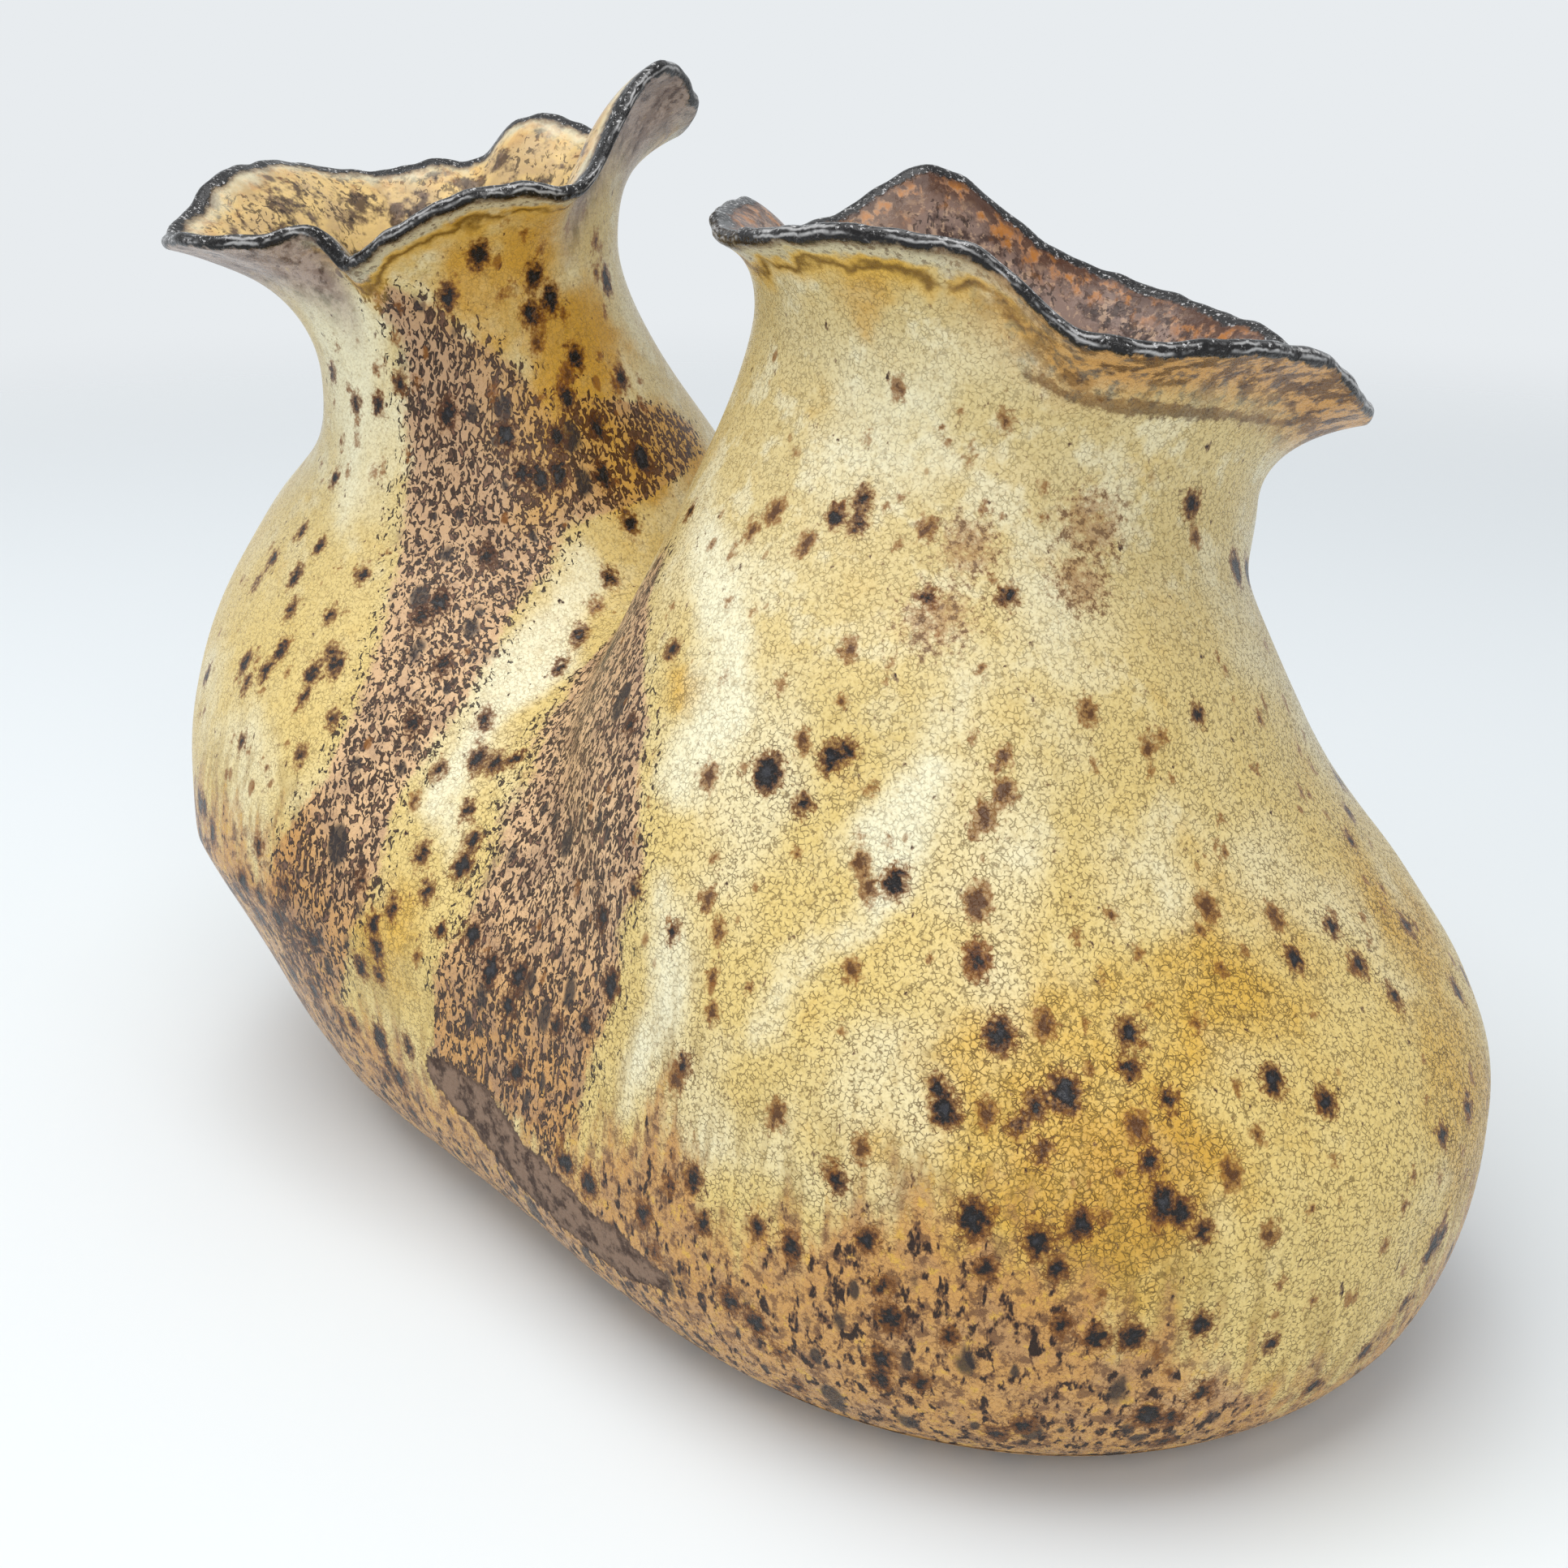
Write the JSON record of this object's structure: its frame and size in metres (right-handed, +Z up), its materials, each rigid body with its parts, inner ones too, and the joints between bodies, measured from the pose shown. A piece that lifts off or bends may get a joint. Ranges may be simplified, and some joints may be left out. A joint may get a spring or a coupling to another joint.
{
  "type": "twin-necked pottery vase",
  "caption": "Oval stoneware vase with a full belly and twin leaning necks, each opening into a thin ruffled lip; amber crackle glaze with brown bands.",
  "frame": {"origin": "on the table, under the middle of the foot", "axes": "+Z up, +X along the oval body towards the larger pot, +Y across the body"},
  "size_m": [0.2936, 0.1642, 0.2169],
  "materials": {
    "bare_clay": "matte",
    "brown_glaze": "gloss",
    "amber_glaze": "gloss",
    "lip_glaze": "gloss"
  },
  "bodies": {
    "root": {"floor_slab": "bare_clay", "belly_wall": "brown_glaze", "front_shoulder": "amber_glaze", "rear_shoulder": "amber_glaze", "front_neck": "amber_glaze", "rear_neck": "amber_glaze", "front_lip": "lip_glaze", "rear_lip": "lip_glaze"}
  },
  "joints": []
}
